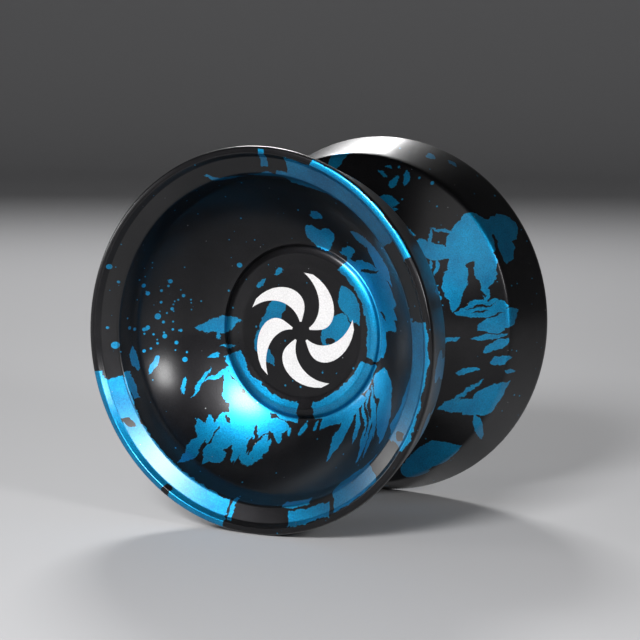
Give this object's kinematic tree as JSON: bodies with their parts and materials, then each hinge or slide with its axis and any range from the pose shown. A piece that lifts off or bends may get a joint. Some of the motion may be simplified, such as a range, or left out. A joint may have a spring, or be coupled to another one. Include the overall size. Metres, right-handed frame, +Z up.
{
  "type": "yo yo",
  "caption": "Butterfly-shaped ball-bearing yo-yo of two cupped metal halves that unscrew from a threaded axle.",
  "frame": {"origin": "centre of the yo-yo, on the axle halfway between the two halves", "axes": "+Y along the axle from half_a to half_b, +Z up with the yo-yo standing on its rims, +X to the right of the -Y face"},
  "size_m": [0.0558, 0.0424, 0.0558],
  "materials": {
    "anodised_aluminium": "bead-blasted black anodise with splashed blue areas",
    "silicone": "matte translucent silicone",
    "axle_steel": "oiled threaded steel",
    "pressed_steel": "satin pressed steel",
    "bearing_steel": "ground and polished steel"
  },
  "bodies": {
    "first_half": {"half_a": "anodised_aluminium", "response_pad_a": "silicone", "axle": "axle_steel", "bearing_inner_race": "bearing_steel"},
    "outer_race": {"bearing_outer_race": "bearing_steel", "shield_a": "bearing_steel", "shield_b": "bearing_steel", "snap_ring_a": "pressed_steel", "snap_ring_b": "pressed_steel"},
    "ball_cage": {"cage_half_a": "pressed_steel", "cage_half_b": "pressed_steel", "ball_1": "bearing_steel", "ball_2": "bearing_steel", "ball_3": "bearing_steel", "ball_4": "bearing_steel", "ball_5": "bearing_steel", "ball_6": "bearing_steel", "ball_7": "bearing_steel", "ball_8": "bearing_steel"},
    "second_half": {"half_b": "anodised_aluminium", "response_pad_b": "silicone"}
  },
  "joints": [
    {"name": "bearing_spin", "type": "hinge", "parent": "first_half", "child": "outer_race", "pos_m": [0, 0, 0], "axis": [0, 1, 0], "continuous": true},
    {"name": "cage_spin", "type": "hinge", "parent": "first_half", "child": "ball_cage", "pos_m": [0, 0, 0], "axis": [0, 1, 0], "continuous": true},
    {"name": "half_release", "type": "slide", "parent": "first_half", "child": "second_half", "axis": [0, 1, 0], "range_m": [0, 0.016]}
  ],
  "couplings": [
    {"joint": "cage_spin", "follows": "bearing_spin", "ratio": 0.605}
  ]
}
